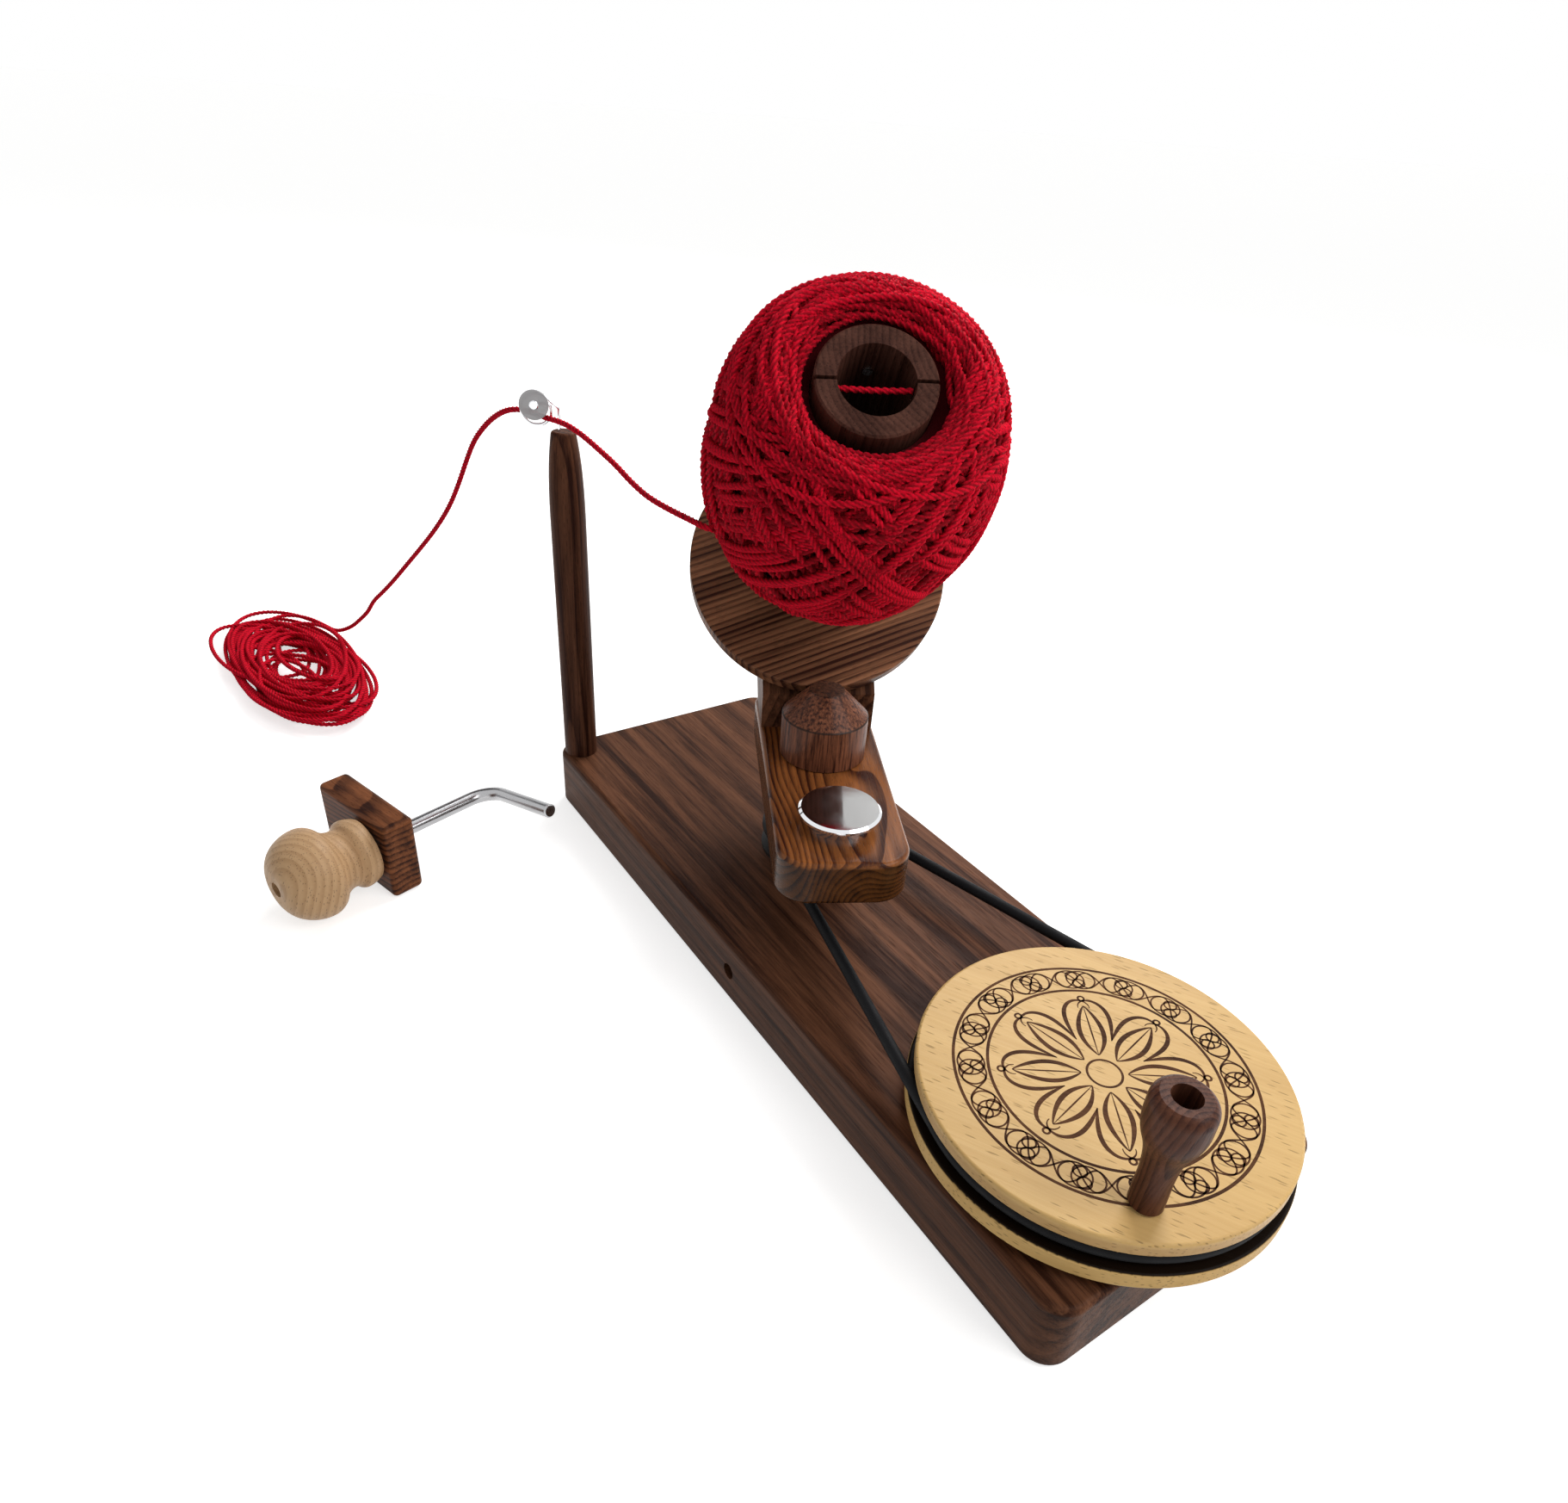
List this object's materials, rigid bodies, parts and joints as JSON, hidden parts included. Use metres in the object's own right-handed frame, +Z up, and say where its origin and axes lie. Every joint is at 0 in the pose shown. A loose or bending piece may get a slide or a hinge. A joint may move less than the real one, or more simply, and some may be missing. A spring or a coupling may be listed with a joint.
{
  "type": "yarn cone winder",
  "caption": "Hand-cranked yarn winder: a belt-driven flyer carries a tilted spindle round a fixed cone, beside a guide post and a loose clamp.",
  "frame": {"origin": "centre of the base board's underside", "axes": "+X along the board towards the crank wheel, +Z up, -Y the long side with the clamp hole"},
  "size_m": [0.7833, 0.3482, 0.3239],
  "materials": {
    "dark_wood": "satin walnut stain",
    "post_wood": "satin dark stain",
    "cone_wood": "satin stain",
    "pale_wood": "satin beech",
    "knob_wood": "satin beech",
    "bright_chrome": "polished",
    "steel": "zinc plated",
    "brass_sleeve": "satin",
    "belt_rubber": "satin",
    "pulley_plastic": "satin black",
    "guide_plastic": "clear grey",
    "yarn": "spun wool, dark red"
  },
  "bodies": {
    "base": {"base_board": "dark_wood", "guide_post": "post_wood", "guide_wire": "bright_chrome", "guide_disc": "guide_plastic", "guide_rivet": "bright_chrome", "main_shaft": "steel", "shaft_washer": "steel", "shaft_nut": "steel", "shaft_spacer": "steel", "cone_spacer": "steel", "sun_cone": "cone_wood", "wheel_axle": "steel", "axle_washer": "steel", "retaining_ring": "steel", "drive_belt": "belt_rubber", "yarn_strand": "yarn", "yarn_hank": "yarn", "clamp_rod": "bright_chrome"},
    "wheel": {"wheel_top_disc": "pale_wood", "wheel_core": "pale_wood", "wheel_bottom_disc": "pale_wood", "wheel_bearings": "steel", "wheel_screws": "steel", "handle_insert": "brass_sleeve", "handle_washer": "steel", "handle_screw": "steel"},
    "handle": {"crank_handle": "post_wood"},
    "flyer": {"flyer_arm": "dark_wood", "arm_pulley": "pulley_plastic", "pulley_screws": "steel", "arm_bearings": "steel", "flyer_upright": "dark_wood", "upright_screws": "steel", "counterweight": "bright_chrome", "counterweight_screw": "steel", "spindle_bolt": "steel", "spindle_nut": "steel", "spindle_washers": "steel"},
    "core": {"flange_disc": "dark_wood", "flange_screws": "steel", "core_tube": "dark_wood", "core_set_screw": "steel", "core_bearings": "steel", "yarn_package": "yarn", "yarn_winding": "yarn", "yarn_start": "yarn", "yarn_tail": "yarn"},
    "clamp_jaw": {"clamp_block": "dark_wood", "clamp_washer": "steel"},
    "clamp_knob_set": {"clamp_knob": "knob_wood", "clamp_insert": "brass_sleeve"}
  },
  "joints": [
    {"name": "wheel_spin", "type": "hinge", "parent": "base", "child": "wheel", "pos_m": [0.159, 0, 0.05], "axis": [0, 0, 1], "continuous": true},
    {"name": "handle_spin", "type": "hinge", "parent": "wheel", "child": "handle", "pos_m": [0.20733, -0.0326, 0.08], "axis": [0, 0, 1], "continuous": true},
    {"name": "flyer_spin", "type": "hinge", "parent": "base", "child": "flyer", "pos_m": [-0.0435, 0, 0.08], "axis": [0, 0, 1], "continuous": true},
    {"name": "core_spin", "type": "hinge", "parent": "flyer", "child": "core", "pos_m": [-0.09942, 0.02973, 0.17731], "axis": [0.6133, -0.3261, 0.7193], "continuous": true},
    {"name": "clamp_jaw_slide", "type": "slide", "parent": "base", "child": "clamp_jaw", "axis": [-0.289, 0.9573, 0], "range_m": [0, 0.02]},
    {"name": "clamp_knob_turn", "type": "hinge", "parent": "clamp_jaw", "child": "clamp_knob_set", "pos_m": [-0.1658, -0.2431, 0.0252], "axis": [-0.289, 0.9573, 0], "range_deg": [0, 5800]}
  ],
  "couplings": [
    {"joint": "flyer_spin", "follows": "wheel_spin", "ratio": 3.1087},
    {"joint": "core_spin", "follows": "wheel_spin", "ratio": 0.86482},
    {"joint": "clamp_knob_turn", "follows": "clamp_jaw_slide", "rad_per_m": 5026.5}
  ]
}
